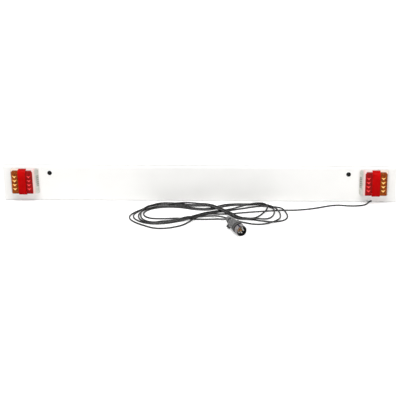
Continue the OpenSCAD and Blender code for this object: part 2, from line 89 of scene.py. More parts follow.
# each pass of the cord over the ground: how high it lies in the heap, then its points from above
passes = [
    (-1.0, [(0.650, -0.040), (0.640, -0.049), (0.626, -0.054), (0.610, -0.057), (0.593, -0.058), (0.578, -0.057),
            (0.564, -0.054), (0.549, -0.051), (0.535, -0.051), (0.520, -0.054), (0.505, -0.059), (0.490, -0.066),
            (0.475, -0.073), (0.461, -0.080), (0.446, -0.086), (0.431, -0.091), (0.416, -0.095), (0.402, -0.099),
            (0.387, -0.102), (0.374, -0.104), (0.361, -0.105), (0.348, -0.105), (0.336, -0.105), (0.298, -0.110),
            (0.260, -0.116), (0.222, -0.123), (0.184, -0.131), (0.156, -0.138)]),
    (0.0, [(0.124, -0.146), (0.089, -0.150), (0.060, -0.158)]),
    (0.6, [(0.037, -0.168), (0.015, -0.184), (-0.001, -0.201), (-0.017, -0.222), (-0.032, -0.241),
           (-0.048, -0.258)]),
    (0.1, [(-0.070, -0.273), (-0.105, -0.287), (-0.148, -0.287), (-0.193, -0.260), (-0.231, -0.228),
           (-0.252, -0.191), (-0.249, -0.159), (-0.229, -0.126), (-0.207, -0.101), (-0.185, -0.073),
           (-0.161, -0.048), (-0.135, -0.039), (-0.103, -0.039), (-0.071, -0.045), (-0.035, -0.054),
           (0.001, -0.056)]),
    (3.0, [(0.032, -0.062), (0.060, -0.085), (0.087, -0.115), (0.119, -0.150), (0.146, -0.177), (0.172, -0.191)]),
    (0.2, [(0.200, -0.196), (0.228, -0.205), (0.260, -0.215), (0.297, -0.219), (0.331, -0.204), (0.345, -0.171),
           (0.336, -0.126), (0.317, -0.092), (0.280, -0.070), (0.254, -0.065)]),
    (1.0, [(0.223, -0.072), (0.188, -0.086), (0.144, -0.104), (0.101, -0.120), (0.058, -0.141), (0.037, -0.157),
           (0.015, -0.175), (-0.001, -0.190), (-0.018, -0.203)]),
    (1.1, [(-0.034, -0.212), (-0.068, -0.224), (-0.101, -0.238), (-0.139, -0.247), (-0.182, -0.241), (-0.219, -0.215),
           (-0.238, -0.182), (-0.235, -0.149), (-0.214, -0.118), (-0.190, -0.087), (-0.159, -0.061),
           (-0.125, -0.051), (-0.070, -0.059), (-0.025, -0.068), (0.010, -0.070)]),
    (4.0, [(0.037, -0.076), (0.065, -0.100), (0.092, -0.129), (0.124, -0.164), (0.151, -0.189), (0.176, -0.200)]),
    (1.2, [(0.211, -0.203), (0.265, -0.197), (0.286, -0.172), (0.296, -0.132), (0.290, -0.099), (0.267, -0.077)]),
    (1.4, [(0.232, -0.066), (0.187, -0.058), (0.143, -0.058), (0.108, -0.069), (0.078, -0.087), (0.052, -0.105),
           (0.012, -0.107), (-0.023, -0.099), (-0.060, -0.086)]),
    (0.4, [(-0.109, -0.081), (-0.153, -0.089), (-0.184, -0.108), (-0.199, -0.131), (-0.202, -0.156),
           (-0.192, -0.178), (-0.173, -0.193), (-0.143, -0.197)]),
    (0.5, [(-0.105, -0.195), (-0.070, -0.191), (-0.036, -0.194), (-0.001, -0.201), (0.052, -0.199), (0.114, -0.197),
           (0.147, -0.210)]),
    (2.1, [(0.176, -0.225), (0.195, -0.234), (0.223, -0.244), (0.260, -0.241), (0.297, -0.226), (0.315, -0.195),
           (0.317, -0.151), (0.302, -0.112), (0.276, -0.082), (0.245, -0.059)]),
    (1.3, [(0.196, -0.047), (0.143, -0.045), (0.103, -0.054), (0.077, -0.071), (0.051, -0.092), (0.012, -0.095),
           (-0.024, -0.085), (-0.061, -0.072)]),
    (3.1, [(-0.110, -0.068), (-0.154, -0.076), (-0.191, -0.100), (-0.213, -0.131), (-0.220, -0.168),
           (-0.212, -0.201), (-0.191, -0.228), (-0.152, -0.240)]),
    (2.0, [(-0.110, -0.231), (-0.068, -0.218), (-0.035, -0.204), (-0.018, -0.193), (-0.002, -0.181),
           (0.014, -0.168), (0.036, -0.150), (0.057, -0.131),
           (0.100, -0.110), (0.144, -0.092), (0.188, -0.074), (0.223, -0.062)]),
    (4.1, [(0.252, -0.067), (0.268, -0.086), (0.267, -0.116), (0.250, -0.150), (0.222, -0.184), (0.200, -0.190)]),
    (5.0, [(0.175, -0.185), (0.150, -0.168), (0.123, -0.139), (0.092, -0.105), (0.064, -0.076), (0.036, -0.051),
           (0.009, -0.044), (-0.027, -0.045)]),
    (4.2, [(-0.071, -0.052), (-0.115, -0.059), (-0.159, -0.069), (-0.190, -0.093), (-0.208, -0.126),
           (-0.212, -0.159), (-0.206, -0.190), (-0.188, -0.218), (-0.153, -0.231)]),
    (0.55, [(-0.132, -0.222), (-0.103, -0.216), (-0.069, -0.208), (-0.052, -0.202), (-0.036, -0.193),
            (-0.019, -0.185), (-0.002, -0.179), (0.015, -0.175), (0.030, -0.172)]),
]
# up from the heap into the cap of the plug
tailRise = [(0.048, -0.171, -0.1118), (0.062, -0.174, -0.1098), (0.076, -0.182, -0.1065), (0.088, -0.194, -0.1028),
            (0.0985, -0.2085, -0.0984), (0.1085, -0.2235, -0.0944), (0.1155, -0.2325, -0.0924),
            (0.1211, -0.2402, -0.0915), (0.1234, -0.2447, -0.0917)]


def smoothLine(points, step):
    # centripetal curve through the points, cut at even steps, with the place of each cut between the points
    ends = np.vstack([2 * points[0] - points[1], points, 2 * points[-1] - points[-2]])
    line, place = [], []
    for i in range(1, len(ends) - 2):
        a, b, c, d = ends[i - 1:i + 3]
        ta = 0.0
        tb = ta + math.sqrt(np.linalg.norm(b - a))
        tc = tb + math.sqrt(np.linalg.norm(c - b))
        td = tc + math.sqrt(np.linalg.norm(d - c))
        for k in range(cordSet["spanCuts"]):
            t = tb + (tc - tb) * k / cordSet["spanCuts"]
            ab = (tb - t) / (tb - ta) * a + (t - ta) / (tb - ta) * b
            bc = (tc - t) / (tc - tb) * b + (t - tb) / (tc - tb) * c
            cd = (td - t) / (td - tc) * c + (t - tc) / (td - tc) * d
            abc = (tc - t) / (tc - ta) * ab + (t - ta) / (tc - ta) * bc
            bcd = (td - t) / (td - tb) * bc + (t - tb) / (td - tb) * cd
            line.append((tc - t) / (tc - tb) * abc + (t - tb) / (tc - tb) * bcd)
            place.append(i - 1 + k / cordSet["spanCuts"])
    line.append(points[-1])
    place.append(len(points) - 1)
    line = np.array(line)
    along = np.concatenate([[0], np.cumsum(np.linalg.norm(np.diff(line, axis=0), axis=1))])
    cuts = np.linspace(0, along[-1], int(along[-1] / step) + 1)
    return np.stack([np.interp(cuts, along, line[:, k]) for k in range(3)], 1), np.interp(cuts, along, place)


def soften(values):
    # one round of averaging with the neighbours, in place; the ends stay
    values[1:-1] = 0.25 * values[:-2] + 0.5 * values[1:-1] + 0.25 * values[2:]


def drape(lifted, arc, rounds):
    # long arcs over the lifted samples, then the hollows between them filled a little
    height = lifted.copy()
    for k, drop in enumerate(arc, 1):
        height[k:] = np.maximum(height[k:], lifted[:-k] - drop)
        height[:-k] = np.maximum(height[:-k], lifted[k:] - drop)
    settled = height.copy()
    for _ in range(rounds):
        soften(settled)
        settled = np.maximum(settled, height)
    return settled


def layCord():
    route = [(p, cordSet["leadLevel"]) for p in leadDrop]
    for level, points in passes:
        route += [((x, y, cordSet["rest"]), level) for x, y in points]
    route += [(p, cordSet["tailLevel"]) for p in tailRise]
    levels = np.array([level for _, level in route])
    line, place = smoothLine(np.array([p for p, _ in route]), cordSet["step"])
    for _ in range(cordSet["planSmooth"]):
        soften(line)
    level = levels[np.round(place).astype(int)]
    # where two passes meet from above, the higher one climbs over the other
    count = len(line)
    apart = np.linalg.norm(line[:, None, :2] - line[None, :, :2], axis=2)
    order = np.abs(np.arange(count)[:, None] - np.arange(count)[None])
    far = order * cordSet["step"] > cordSet["sameTurn"] * cordSet["diameter"]
    over, under = np.nonzero((apart < cordSet["gap"]) & far & (level[:, None] > level[None]))
    need = np.sqrt(cordSet["gap"] ** 2 - apart[over, under] ** 2)
    height = line[:, 2].copy()
    free = slice(len(leadDrop) * cordSet["leadSamples"], -cordSet["tailSamples"])
    reach = np.arange(1, cordSet["arcSamples"]) * cordSet["step"]
    bend = cordSet["slope"] * cordSet["crest"]
    arc = np.where(reach < bend, reach ** 2 / (2 * cordSet["crest"]), cordSet["slope"] * (reach - bend / 2))
    for _ in range(cordSet["settleRounds"]):
        lifted = line[:, 2].copy()
        np.maximum.at(lifted, over, height[under] + need)
        lifted[free] = drape(lifted[free], arc, cordSet["liftSmooth"])
        if np.abs(lifted - height).max() < 1e-6:
            break
        height = lifted
    # where the loose turns meet the rise to the plug
    before, after = cordSet["jointReach"]
    joint = slice(-cordSet["tailSamples"] - before, -after)
    for _ in range(cordSet["jointSmooth"]):
        soften(height[joint])
    line[:, 2] = height
    return line


cordLine = layCord()
bpy.ops.object.select_all(action="DESELECT")
bpy.ops.curve.primitive_bezier_curve_add()
cord = bpy.context.object
cord.name = "cord"
cord.data.splines.clear()
spline = cord.data.splines.new("POLY")
spline.points.add(len(cordLine) - 1)
for point, co in zip(spline.points, cordLine):
    point.co = (*co, 1)
    point.radius = cordSet["diameter"] / 2    # full size here, so the curve's own box is right too
spline.use_smooth = True
cord.location = (0, 0, 0)
cord.data.dimensions = "3D"
cord.data.bevel_depth = 1.0
cord.data.bevel_resolution = 4
cord.data.use_fill_caps = True
cordLength = float(np.linalg.norm(np.diff(cordLine, axis=0), axis=1).sum())
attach(cord, "root")
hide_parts("cord_lead", "cord_heap", "cord_tail")
print("cord laid, metres:", round(cordLength, 3), "top:", round(float(cordLine[:, 2].max()) - ground, 4))


def newMaterial(name):
    mat = bpy.data.materials.new(name)
    mat.use_nodes = True
    tree = mat.node_tree
    coords = tree.nodes.new("ShaderNodeTexCoord")
    return mat, tree, tree.nodes["Principled BSDF"], coords


def addNoise(tree, coords, scale, detail=3.0, stretch=None):
    noise = tree.nodes.new("ShaderNodeTexNoise")
    noise.inputs["Scale"].default_value = scale
    noise.inputs["Detail"].default_value = detail
    source = coords.outputs["Object"]
    if stretch:
        mapping = tree.nodes.new("ShaderNodeMapping")
        mapping.inputs["Scale"].default_value = stretch
        tree.links.new(source, mapping.inputs["Vector"])
        source = mapping.outputs["Vector"]
    tree.links.new(source, noise.inputs["Vector"])
    return noise


def addRamp(tree, source, stops):
    ramp = tree.nodes.new("ShaderNodeValToRGB")
    first, last = ramp.color_ramp.elements
    first.position, first.color = stops[0][0], (*stops[0][1], 1)
    last.position, last.color = stops[-1][0], (*stops[-1][1], 1)
    for place, color in stops[1:-1]:
        ramp.color_ramp.elements.new(place).color = (*color, 1)
    tree.links.new(source, ramp.inputs["Fac"])
    return ramp.outputs["Color"]


def addRange(tree, source, low, high, fromLow=0.3, fromHigh=0.7):
    ranged = tree.nodes.new("ShaderNodeMapRange")
    ranged.inputs["From Min"].default_value = fromLow
    ranged.inputs["From Max"].default_value = fromHigh
    ranged.inputs["To Min"].default_value = low
    ranged.inputs["To Max"].default_value = high
    tree.links.new(source, ranged.inputs["Value"])
    return ranged.outputs["Result"]


def addMath(tree, operation, first, second=None, third=None):
    node = tree.nodes.new("ShaderNodeMath")
    node.operation = operation
    for socket, value in zip(node.inputs, (first, second, third)):
        if value is None:
            continue
        if isinstance(value, (int, float)):
            socket.default_value = value
        else:
            tree.links.new(value, socket)
    return node.outputs["Value"]


def addSplit(tree, vector):
    parts = tree.nodes.new("ShaderNodeSeparateXYZ")
    tree.links.new(vector, parts.inputs["Vector"])
    return parts


def addBump(tree, source, shader, strength, distance):
    bump = tree.nodes.new("ShaderNodeBump")
    bump.inputs["Strength"].default_value = strength
    bump.inputs["Distance"].default_value = distance
    tree.links.new(source, bump.inputs["Height"])
    tree.links.new(bump.outputs["Normal"], shader.inputs["Normal"])


def mixIn(tree, factor, below, color):
    node = tree.nodes.new("ShaderNodeMix")
    node.data_type = "RGBA"
    tree.links.new(factor, node.inputs["Factor"])
    tree.links.new(below, node.inputs["A"])
    node.inputs["B"].default_value = (*color, 1)
    return node.outputs["Result"]


def between(tree, value, low, high, soft):
    # 1 from low to high, 0 outside
    rise = addRange(tree, value, 0.0, 1.0, low - soft, low + soft)
    fall = addRange(tree, value, 1.0, 0.0, high - soft, high + soft)
    return addMath(tree, "MULTIPLY", rise, fall)


def dress(mat, *nodes):
    for name in nodes:
        node = bpy.data.objects[name]
        node.data.materials.clear()
        node.data.materials.append(mat)


def bothLamps(name):
    return ["left_" + name, "right_" + name]


# plain finishes: two close tones in patches, the gloss varied with them, and a fine grain with its depth in metres
finishes = {
    "boardPlastic": {"dark": (0.890, 0.885, 0.865), "light": (0.910, 0.905, 0.885), "patches": 9,
                     "rough": (0.34, 0.42), "grain": 900, "depth": 0.00006, "specular": 0.2,
                     "nodes": ["board"]},
    "blackBolt": {"dark": (0.003, 0.003, 0.003), "light": (0.008, 0.008, 0.008), "patches": 200,
                  "rough": (0.24, 0.36), "grain": 1500, "depth": 0.00003, "specular": 0.15,
                  "nodes": ["fixing_bolts"]},
    "zincPlate": {"dark": (0.50, 0.50, 0.51), "light": (0.66, 0.66, 0.66), "patches": 260,
                  "rough": (0.28, 0.42), "grain": 1800, "depth": 0.00003, "metal": 1.0,
                  "nodes": ["fixing_washers", "fixing_nuts", "lamp_bolts", "lamp_washers", "lamp_nuts"]},
    "clampScrew": {"dark": (0.06, 0.06, 0.065), "light": (0.16, 0.16, 0.165), "patches": 400,
                   "rough": (0.34, 0.46), "grain": 1800, "depth": 0.00003, "metal": 0.6,
                   "nodes": ["plug_clamp_screw"]},
    "trayPlastic": {"dark": (0.74, 0.69, 0.66), "light": (0.80, 0.76, 0.74), "patches": 30,
                    "rough": (0.25, 0.36), "grain": 1100, "depth": 0.00004,
                    "nodes": bothLamps("lamp_tray")},
    "mouldedRubber": {"dark": (0.016, 0.016, 0.017), "light": (0.032, 0.032, 0.033), "patches": 120,
                      "rough": (0.55, 0.72), "grain": 1600, "depth": 0.00008,
                      "nodes": bothLamps("cable_gland")},
    "cordSheath": {"dark": (0.006, 0.006, 0.006), "light": (0.016, 0.016, 0.016), "patches": 60,
                   "rough": (0.22, 0.34), "grain": 1400, "depth": 0.00004, "specular": 0.6,
                   "nodes": ["cord"]},
    "cupMetal": {"dark": (0.80, 0.80, 0.80), "light": (0.92, 0.92, 0.91), "patches": 150,
                 "rough": (0.06, 0.14), "grain": 900, "depth": 0.00003, "metal": 1.0,
                 "nodes": bothLamps("turn_cups") + bothLamps("tail_cups")},
    "boardLaminate": {"dark": (0.015, 0.09, 0.035), "light": (0.03, 0.14, 0.06), "patches": 140,
                      "rough": (0.3, 0.45), "grain": 1200, "depth": 0.00004,
                      "nodes": bothLamps("circuit_board")},
    "ledAmber": {"dark": (0.85, 0.42, 0.08), "light": (0.95, 0.60, 0.20), "patches": 400,
                 "rough": (0.1, 0.2), "grain": 1500, "depth": 0.00002,
                 "nodes": bothLamps("turn_leds")},
    "ledRed": {"dark": (0.70, 0.06, 0.04), "light": (0.85, 0.14, 0.09), "patches": 400,
               "rough": (0.1, 0.2), "grain": 1500, "depth": 0.00002,
               "nodes": bothLamps("tail_leds")},
    "ledWhite": {"dark": (0.85, 0.83, 0.70), "light": (0.93, 0.92, 0.82), "patches": 400,
                 "rough": (0.1, 0.2), "grain": 1500, "depth": 0.00002,
                 "nodes": bothLamps("plate_leds")},
}
grainStrength = 0.25


def plainFinish(name, finish):
    mat, tree, shader, coords = newMaterial(name)
    patches = addNoise(tree, coords, finish["patches"]).outputs["Fac"]
    tree.links.new(addRamp(tree, patches, [(0.35, finish["dark"]), (0.65, finish["light"])]),
                   shader.inputs["Base Color"])
    tree.links.new(addRange(tree, patches, *finish["rough"]), shader.inputs["Roughness"])
    fine = addNoise(tree, coords, finish["grain"], detail=2.0)
    addBump(tree, fine.outputs["Fac"], shader, grainStrength, finish["depth"])
    shader.inputs["Metallic"].default_value = finish.get("metal", 0.0)
    shader.inputs["Specular IOR Level"].default_value = finish.get("specular", 0.5)
    return mat


for name, finish in finishes.items():
    dress(plainFinish(name, finish), *finish["nodes"])
print("plain finishes set:", len(finishes))

# red reflector band, with a painted highlight that makes it brighter towards its top
bandSet = {
    "foot": -0.085,
    "top": 0.025,
    "highlightShare": 0.65,
    "cloudShare": 0.35,
    "cloud": 45,
    "tones": [(0.0, (0.36, 0.0010, 0.0012)), (0.6, (0.47, 0.0014, 0.0016)), (1.0, (0.64, 0.0024, 0.0028))],
    "rough": (0.16, 0.26),
    "specular": 0.04,
    "grain": 500,
    "grainStrength": 0.2,
    "grainDepth": 0.00004,
}


def bandPlastic(name):
    mat, tree, shader, coords = newMaterial(name)
    spot = addSplit(tree, coords.outputs["Object"])
    cloud = addNoise(tree, coords, bandSet["cloud"]).outputs["Fac"]
    # painted highlight: the colour rises towards the top of the band
    high = addRange(tree, spot.outputs["Z"], 0.0, 1.0, bandSet["foot"], bandSet["top"])
    shade = addMath(tree, "MULTIPLY_ADD", high, bandSet["highlightShare"],
                    addRange(tree, cloud, 0.0, bandSet["cloudShare"]))
    tree.links.new(addRamp(tree, shade, bandSet["tones"]), shader.inputs["Base Color"])
    tree.links.new(addRange(tree, cloud, *bandSet["rough"]), shader.inputs["Roughness"])
    fine = addNoise(tree, coords, bandSet["grain"], detail=2.0)
    addBump(tree, fine.outputs["Fac"], shader, bandSet["grainStrength"], bandSet["grainDepth"])
    shader.inputs["Specular IOR Level"].default_value = bandSet["specular"]
    return mat


dress(bandPlastic("reflectorRed"), *bothLamps("reflector_band"))

# amber and red covers, with painted reflections of the cups behind them
lensSet = {
    "lampX": 0.6765,
    "lampZ": -0.030,
    "pitch": 0.0169,
    "cups": 4,
    "drop": 0.0017,            # the painted reflections sit a little below the middles of the cups
    "halfWide": 0.0072,
    "halfHigh": 0.0066,
    "wobble": 0.0024,          # how far the outline of a painted reflection strays
    "wobbleScale": 260,
    "footShape": (-1.2, 0.95),
    "topShape": (0.40, 0.45),
    "reflectionSoft": (0.45, 0.35),
    "reflectionRelief": 0.0006,
    "paintedGlow": 0.30,              # painted glow, standing for light that the cups gather and throw back
    "glintPower": 3.0,
    "clearness": 0.12,
    "ior": 1.49,
    "specular": 0.1,
    "rough": (0.10, 0.20),
    "patches": 190,
    "front": -0.045,
    "wrap": 0.008,             # how far the deep colour runs round the front edge
    "wrapSoft": 0.003,
    "facing": (0.45, 0.85),
    "halfHighFront": 0.0482,
    "cornerRound": 0.008,
    "cornerSoft": 0.001,
}
# column and edge are measured from the middle of the lamp, outwards
lensColors = {
    "amberLens": {"column": 0.0345, "edge": 0.0490, "dark": (0.12, 0.013, 0.001), "mid": (0.42, 0.085, 0.003),
                  "bright": (1.0, 0.44, 0.06), "glint": (1.0, 0.68, 0.26), "rim": (0.96, 0.82, 0.70),
                  "node": "amber_lens"},
    "redLens": {"column": -0.0214, "edge": -0.0348, "dark": (0.24, 0.001, 0.001), "mid": (0.42, 0.002, 0.002),
                "bright": (0.72, 0.020, 0.020), "glint": (0.90, 0.07, 0.07), "rim": (0.96, 0.78, 0.76),
                "node": "red_lens"},
}


def paintedCupReflections(tree, coords, column):
    # one painted reflection for each cup, a bright heart wide at its top and pointed at its foot
    warp = addNoise(tree, coords, lensSet["wobbleScale"], detail=2.0)
    shift = tree.nodes.new("ShaderNodeVectorMath")
    shift.operation = "MULTIPLY_ADD"
    tree.links.new(warp.outputs["Color"], shift.inputs[0])
    shift.inputs[1].default_value = (lensSet["wobble"], 0.0, lensSet["wobble"])
    tree.links.new(coords.outputs["Object"], shift.inputs[2])
    parts = addSplit(tree, shift.outputs["Vector"])
    # the noise is about a half on average, which moves everything by half the wobble
    middle = lensSet["lampX"] + column + lensSet["wobble"] / 2
    side = addMath(tree, "SUBTRACT", addMath(tree, "ABSOLUTE", parts.outputs["X"]), middle)
    wide = addMath(tree, "DIVIDE", addMath(tree, "ABSOLUTE", side), lensSet["halfWide"])
    foot = lensSet["lampZ"] - lensSet["drop"] - lensSet["pitch"] * lensSet["cups"] / 2 + lensSet["wobble"] / 2
    rows = addMath(tree, "DIVIDE", addMath(tree, "SUBTRACT", parts.outputs["Z"], foot), lensSet["pitch"])
    within = addMath(tree, "SUBTRACT", addMath(tree, "FRACT", rows), 0.5)
    high = addMath(tree, "MULTIPLY", within, lensSet["pitch"] / lensSet["halfHigh"])
    lower = addMath(tree, "ADD", addMath(tree, "MULTIPLY_ADD", wide, *lensSet["footShape"]), high)
    upper = addMath(tree, "SUBTRACT", addMath(tree, "MULTIPLY_ADD", wide, *lensSet["topShape"]), high)
    below = addRange(tree, lower, 0.0, 1.0, 0.0, lensSet["reflectionSoft"][0])
    above = addRange(tree, upper, 0.0, 1.0, 0.0, lensSet["reflectionSoft"][1])
    inRow = addMath(tree, "MULTIPLY", addMath(tree, "GREATER_THAN", rows, 0.0),
                    addMath(tree, "LESS_THAN", rows, float(lensSet["cups"])))
    return addMath(tree, "MULTIPLY", addMath(tree, "MULTIPLY", below, above), inRow)


def cornerShare(tree, coords, edge):
    # 1 outside the rounded corners of the coloured front, 0 inside
    parts = addSplit(tree, coords.outputs["Object"])
    across = addMath(tree, "SUBTRACT", addMath(tree, "ABSOLUTE", parts.outputs["X"]), lensSet["lampX"])
    inward = addMath(tree, "MULTIPLY", addMath(tree, "SUBTRACT", across, edge), -1.0 if edge > 0 else 1.0)
    acrossShort = addMath(tree, "MAXIMUM", addMath(tree, "SUBTRACT", lensSet["cornerRound"], inward), 0.0)
    up = addMath(tree, "ABSOLUTE", addMath(tree, "SUBTRACT", parts.outputs["Z"], lensSet["lampZ"]))
    upShort = addMath(tree, "MAXIMUM",
                      addMath(tree, "ADD", up, lensSet["cornerRound"] - lensSet["halfHighFront"]), 0.0)
    reach = addMath(tree, "SQRT", addMath(tree, "MULTIPLY_ADD", acrossShort, acrossShort,
                                          addMath(tree, "MULTIPLY", upShort, upShort)))
    return addRange(tree, reach, 0.0, 1.0, lensSet["cornerRound"] - lensSet["cornerSoft"],
                    lensSet["cornerRound"] + lensSet["cornerSoft"])


def lampLens(name, tones):
    mat, tree, shader, coords = newMaterial(name)
    paintedReflections = paintedCupReflections(tree, coords, tones["column"])
    patches = addNoise(tree, coords, lensSet["patches"], detail=2.0).outputs["Fac"]
    base = addRamp(tree, patches, [(0.36, tones["dark"]), (0.64, tones["mid"])])
    # the painted reflections, with a painted glint at their cores, mixed into the cover's colour
    lit = mixIn(tree, paintedReflections, base, tones["bright"])
    glinted = mixIn(tree, addMath(tree, "POWER", paintedReflections, lensSet["glintPower"]), lit, tones["glint"])
    # the side walls of the cover and its rounded corners are paler, because the light comes through them
    geometry = tree.nodes.new("ShaderNodeNewGeometry")
    facing = addSplit(tree, geometry.outputs["Normal"])
    side = addRange(tree, addMath(tree, "ABSOLUTE", facing.outputs["Y"]), 1.0, 0.0, *lensSet["facing"])
    spot = addSplit(tree, coords.outputs["Object"])
    wrapEnd = lensSet["front"] + lensSet["wrap"]
    behind = addRange(tree, spot.outputs["Y"], 0.0, 1.0, wrapEnd, wrapEnd + lensSet["wrapSoft"])
    wall = addMath(tree, "MAXIMUM", addMath(tree, "MULTIPLY", side, behind),
                   cornerShare(tree, coords, tones["edge"]))
    tree.links.new(mixIn(tree, wall, glinted, tones["rim"]), shader.inputs["Base Color"])
    tree.links.new(addRange(tree, patches, *lensSet["rough"]), shader.inputs["Roughness"])
    addBump(tree, paintedReflections, shader, 0.5, lensSet["reflectionRelief"])
    # painted glow: the cover gives off light where the reflections are painted, though it is no lamp
    tree.links.new(glinted, shader.inputs["Emission Color"])
    tree.links.new(addMath(tree, "MULTIPLY", paintedReflections, lensSet["paintedGlow"]), shader.inputs["Emission Strength"])
    shader.inputs["Transmission Weight"].default_value = lensSet["clearness"]
    shader.inputs["IOR"].default_value = lensSet["ior"]
    shader.inputs["Specular IOR Level"].default_value = lensSet["specular"]
    return mat


for name, tones in lensColors.items():
    dress(lampLens(name, tones), *bothLamps(tones["node"]))

# clear window towards the number plate
windowSet = {
    "pinkFrom": -0.0415,       # light that the red cover throws on the edge beside it
    "pinkSoft": 0.002,
    "pink": (0.98, 0.70, 0.66),
    "ladder": (-0.0545, -0.0462),
    "ladderSoft": 0.001,
    "ladderZ": (-0.049, -0.005),
    "ladderZSoft": 0.002,
    "rung": 0.0084,
    "rungShade": (0.45, 1.0),
    "rungTone": (0.27, 0.28, 0.24),
    "rungRelief": 0.0004,
    "pane": [(0.35, (0.56, 0.56, 0.50)), (0.65, (0.70, 0.70, 0.64))],
    "cloud": 70,
    "rough": (0.12, 0.26),
    "clearness": 0.15,
    "ior": 1.49,
}


def clearCover(name):
    mat, tree, shader, coords = newMaterial(name)
    parts = addSplit(tree, coords.outputs["Object"])
    across = addMath(tree, "SUBTRACT", addMath(tree, "ABSOLUTE", parts.outputs["X"]), lensSet["lampX"])
    cloud = addNoise(tree, coords, windowSet["cloud"], stretch=(1, 1, 2)).outputs["Fac"]
    base = addRamp(tree, cloud, windowSet["pane"])
    # rungs of the moulded prisms in front of the plate lights
    wave = addMath(tree, "SINE", addMath(tree, "MULTIPLY", parts.outputs["Z"], 2 * math.pi / windowSet["rung"]))
    rung = addRange(tree, wave, *windowSet["rungShade"], -0.4, 0.4)
    inX = between(tree, across, *windowSet["ladder"], windowSet["ladderSoft"])
    inZ = between(tree, parts.outputs["Z"], *windowSet["ladderZ"], windowSet["ladderZSoft"])
    shade = addMath(tree, "MULTIPLY", addMath(tree, "MULTIPLY", inX, inZ), rung)
    ribbed = mixIn(tree, shade, base, windowSet["rungTone"])
    blush = addRange(tree, across, 0.0, 1.0, windowSet["pinkFrom"] - windowSet["pinkSoft"],
                     windowSet["pinkFrom"] + windowSet["pinkSoft"])
    tree.links.new(mixIn(tree, blush, ribbed, windowSet["pink"]), shader.inputs["Base Color"])
    tree.links.new(addRange(tree, cloud, *windowSet["rough"]), shader.inputs["Roughness"])
    addBump(tree, shade, shader, 0.4, windowSet["rungRelief"])
    shader.inputs["Transmission Weight"].default_value = windowSet["clearness"]
    shader.inputs["IOR"].default_value = windowSet["ior"]
    return mat


dress(clearCover("clearWindow"), *bothLamps("plate_window"))
print("lamps dressed")

# plug, painted along its own axis: z runs out of the nose, from 0 at its face
plugSet = {
    "face": (0.176, -0.348, -0.0957),
    "turn": (92.0, 0.0, 27.0),
    "gloss": 0.4,              # away from the grooves painted in shade
    "patches": 230,
    "grain": 900,
    "grainStrength": 0.3,
    "grainDepth": 0.0001,
    "keyAngle": 110.0,         # of the keyway, from the plug's own x axis
    "keyHalf": 0.0028,
    "keySoft": 0.0004,
    "keyFrom": 0.012,
    "keyRun": (-0.0205, 0.001),
    "keyRunSoft": 0.0005,
    "keyTone": (0.010, 0.012, 0.040),
    "rimFrom": -0.0012,
    "rimFade": (0.004, 0.010),
    "bore": 0.0182,
    "paintedShadeTone": (0.006, 0.006, 0.006),
    "lugFrom": (0.0185, 0.0215),
    "lugBehind": -0.07,
    "lugTone": (0.04, 0.04, 0.04),
}
# each ring is painted shade in a groove or joint: where it starts and ends, how soft its edges are, and its tone
plugFinishes = {
    "plugBody": {"dark": (0.05, 0.05, 0.05), "light": (0.25, 0.25, 0.25), "rough": (0.34, 0.5), "lugged": True,
                 "rings": [(-0.0928, -0.0862, 0.0006, (0.006, 0.006, 0.006)),
                           (-0.0385, -0.033, 0.001, (0.02, 0.02, 0.02))],
                 "node": "plug_body"},
    "plugShell": {"dark": (0.17, 0.16, 0.16), "light": (0.33, 0.30, 0.30), "rough": (0.28, 0.42), "keyed": True,
                  "rings": [(-0.0245, -0.0195, 0.0008, (0.008, 0.008, 0.008)),
                            (-0.036, -0.0245, 0.0008, (0.10, 0.10, 0.10))],
                  "node": "plug_shell"},
    "plugCap": {"dark": (0.09, 0.09, 0.09), "light": (0.20, 0.20, 0.20), "rough": (0.38, 0.52),
                "rings": [(-0.0965, -0.0955, 0.0006, (0.04, 0.04, 0.04))],
                "node": "plug_cap"},
}


def plugCoords(tree, coords):
    local = tree.nodes.new("ShaderNodeMapping")
    local.vector_type = "TEXTURE"
    local.inputs["Location"].default_value = plugSet["face"]
    local.inputs["Rotation"].default_value = [math.radians(a) for a in plugSet["turn"]]
    tree.links.new(coords.outputs["Object"], local.inputs["Vector"])
    return addSplit(tree, local.outputs["Vector"])


def alongPlug(tree, parts, x, y):
    # metres from the plug's axis in the direction x, y
    return addMath(tree, "ADD", addMath(tree, "MULTIPLY", parts.outputs["X"], x),
                   addMath(tree, "MULTIPLY", parts.outputs["Y"], y))


def towardKey(tree, parts):
    return alongPlug(tree, parts, -0.8, 0.6)


def fromAxis(tree, parts):
    return addMath(tree, "SQRT", addMath(tree, "MULTIPLY_ADD", parts.outputs["X"], parts.outputs["X"],
                                         addMath(tree, "MULTIPLY", parts.outputs["Y"], parts.outputs["Y"])))


